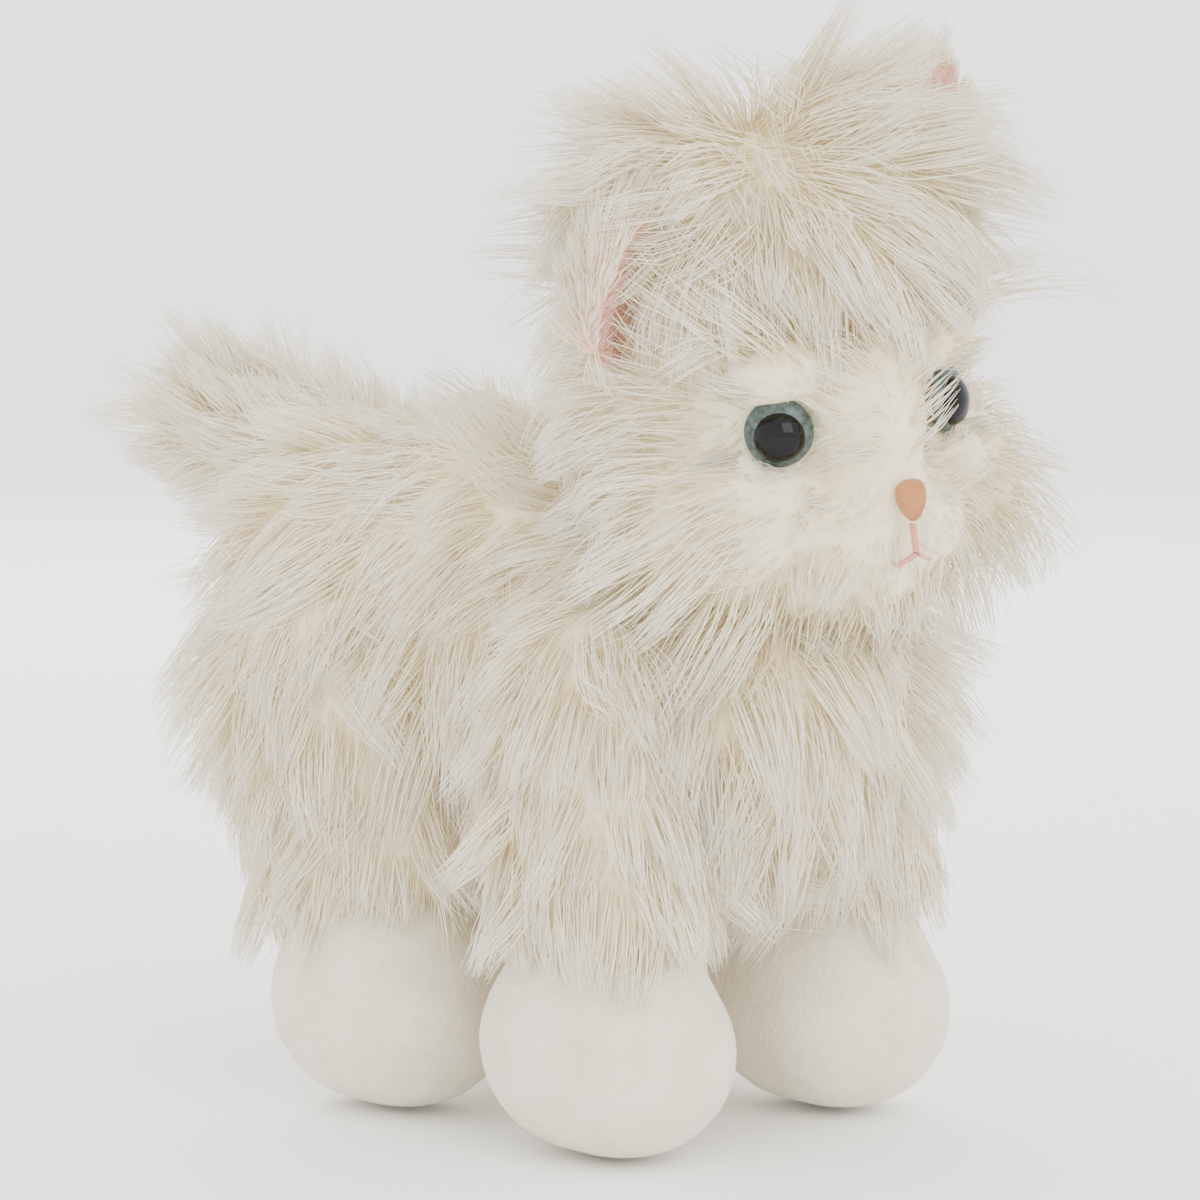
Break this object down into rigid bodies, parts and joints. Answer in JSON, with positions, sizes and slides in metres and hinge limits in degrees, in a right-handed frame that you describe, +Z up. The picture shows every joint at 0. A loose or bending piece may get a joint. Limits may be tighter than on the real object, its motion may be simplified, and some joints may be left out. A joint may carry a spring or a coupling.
{
  "type": "interactive plush pet",
  "caption": "Walking plush kitten with long white pile, stuffed paws, turning head, wagging tail and a geared leg drive in a two-part casing.",
  "frame": {"origin": "middle of the bounding box on the plane of the soles", "axes": "+Z up, the kitten faces -Y, its right side is -X"},
  "size_m": [0.101, 0.2179, 0.1952],
  "materials": {
    "long_pile_plush": "long pile",
    "short_pile_fleece": "short pile",
    "pink_plush": "short pile",
    "eye_plastic": "polished",
    "pink_thread": "embroidered",
    "white_abs": "moulded",
    "bright_steel": "plated",
    "dark_abs": "moulded",
    "acetal": "moulded",
    "cell_jacket": "printed film, plain",
    "board_green": "solder mask",
    "wire_red": "insulation"
  },
  "bodies": {
    "body": {"body_cover": "long_pile_plush", "casing_right": "white_abs", "casing_left": "white_abs", "casing_screws": "bright_steel", "gearbox_plate": "acetal", "motor": "bright_steel", "gear_axle": "bright_steel", "front_axle": "bright_steel", "rear_axle": "bright_steel", "battery_box": "dark_abs", "battery_cells": "cell_jacket", "battery_contacts": "bright_steel", "circuit_board": "board_green", "board_parts": "dark_abs", "speaker": "dark_abs", "speaker_magnet": "bright_steel", "switch_housing": "dark_abs", "touch_housing": "dark_abs", "touch_spring": "bright_steel", "battery_leads": "wire_red", "neck_post": "white_abs", "tail_bracket": "white_abs"},
    "leg_front_right": {"leg_front_right": "white_abs", "sleeve_front_right": "long_pile_plush", "paw_front_right": "short_pile_fleece"},
    "leg_front_left": {"leg_front_left": "white_abs", "sleeve_front_left": "long_pile_plush", "paw_front_left": "short_pile_fleece"},
    "leg_rear_right": {"leg_rear_right": "white_abs", "sleeve_rear_right": "long_pile_plush", "paw_rear_right": "short_pile_fleece"},
    "leg_rear_left": {"leg_rear_left": "white_abs", "sleeve_rear_left": "long_pile_plush", "paw_rear_left": "short_pile_fleece"},
    "crank": {"crankshaft": "bright_steel", "crank_gear": "acetal"},
    "middle_gear": {"middle_gear": "acetal"},
    "motor_pinion": {"motor_pinion": "acetal"},
    "rod_right": {"side_rod_right": "acetal"},
    "rod_left": {"side_rod_left": "acetal"},
    "neck": {"neck_swivel": "acetal"},
    "head": {"skull_back": "white_abs", "skull_front": "white_abs", "head_cover": "long_pile_plush", "crown_tuft": "long_pile_plush", "eye_right": "eye_plastic", "eye_left": "eye_plastic", "eye_washers": "white_abs", "nose": "pink_thread", "mouth_stitch": "pink_thread", "ear_right": "long_pile_plush", "ear_left": "long_pile_plush", "ear_lining_right": "pink_plush", "ear_lining_left": "pink_plush"},
    "tail": {"tail_core": "white_abs", "tail_cover": "long_pile_plush"},
    "battery_door": {"battery_door": "dark_abs", "door_screw": "bright_steel"},
    "power_slider": {"power_slider": "dark_abs"},
    "touch_button": {"touch_button": "white_abs"}
  },
  "joints": [
    {"name": "leg_front_right_swing", "type": "hinge", "parent": "body", "child": "leg_front_right", "pos_m": [-0.028, -0.04, 0.07], "axis": [1, 0, 0], "range_deg": [-13, 13]},
    {"name": "leg_front_left_swing", "type": "hinge", "parent": "body", "child": "leg_front_left", "pos_m": [0.028, -0.04, 0.07], "axis": [1, 0, 0], "range_deg": [-13, 13]},
    {"name": "leg_rear_right_swing", "type": "hinge", "parent": "body", "child": "leg_rear_right", "pos_m": [-0.028, 0.028, 0.07], "axis": [1, 0, 0], "range_deg": [-13, 13]},
    {"name": "leg_rear_left_swing", "type": "hinge", "parent": "body", "child": "leg_rear_left", "pos_m": [0.028, 0.028, 0.07], "axis": [1, 0, 0], "range_deg": [-13, 13]},
    {"name": "crank_turn", "type": "hinge", "parent": "body", "child": "crank", "pos_m": [0, 0.00247, 0.084], "axis": [1, 0, 0], "range_deg": [-60, 60]},
    {"name": "middle_gear_turn", "type": "hinge", "parent": "body", "child": "middle_gear", "pos_m": [-0.018, 0.0135, 0.09503], "axis": [1, 0, 0], "range_deg": [-200, 200]},
    {"name": "motor_turn", "type": "hinge", "parent": "body", "child": "motor_pinion", "pos_m": [-0.018, 0.0253, 0.10329], "axis": [1, 0, 0], "range_deg": [-590, 590]},
    {"name": "rod_right_slide", "type": "slide", "parent": "body", "child": "rod_right", "axis": [0, 1, 0], "range_m": [-0.0035, 0.0035]},
    {"name": "rod_left_slide", "type": "slide", "parent": "body", "child": "rod_left", "axis": [0, 1, 0], "range_m": [-0.0035, 0.0035]},
    {"name": "head_turn", "type": "hinge", "parent": "body", "child": "neck", "pos_m": [0, -0.056, 0.13], "axis": [0, 0, 1], "range_deg": [-10, 40]},
    {"name": "head_nod", "type": "hinge", "parent": "neck", "child": "head", "pos_m": [0, -0.056, 0.13], "axis": [0.9781, -0.2079, 0], "range_deg": [-8, 10]},
    {"name": "tail_wag", "type": "hinge", "parent": "body", "child": "tail", "pos_m": [0, 0.049, 0.112], "axis": [0, 0, 1], "range_deg": [-20, 20]},
    {"name": "power_slide", "type": "slide", "parent": "body", "child": "power_slider", "axis": [0, 1, 0], "range_m": [0, 0.004]},
    {"name": "touch_press", "type": "slide", "parent": "body", "child": "touch_button", "axis": [0, 0, -1], "range_m": [0, 0.0015], "stiffness_N_per_m": 300, "springref_m": -0.001, "deforming": ["touch_spring"]},
    {"name": "door_release", "type": "slide", "parent": "body", "child": "battery_door", "axis": [0, 0, -1], "range_m": [0, 0.005]}
  ],
  "couplings": [
    {"joint": "leg_rear_right_swing", "follows": "leg_front_right_swing", "ratio": 1},
    {"joint": "leg_front_left_swing", "follows": "leg_front_right_swing", "ratio": -1},
    {"joint": "leg_rear_left_swing", "follows": "leg_front_right_swing", "ratio": -1},
    {"joint": "rod_right_slide", "follows": "leg_front_right_swing", "m_per_rad": -0.014},
    {"joint": "rod_left_slide", "follows": "leg_front_right_swing", "m_per_rad": 0.014},
    {"joint": "crank_turn", "follows": "leg_front_right_swing", "ratio": -4.375},
    {"joint": "middle_gear_turn", "follows": "leg_front_right_swing", "ratio": 14.583},
    {"joint": "motor_turn", "follows": "leg_front_right_swing", "ratio": -43.75}
  ]
}
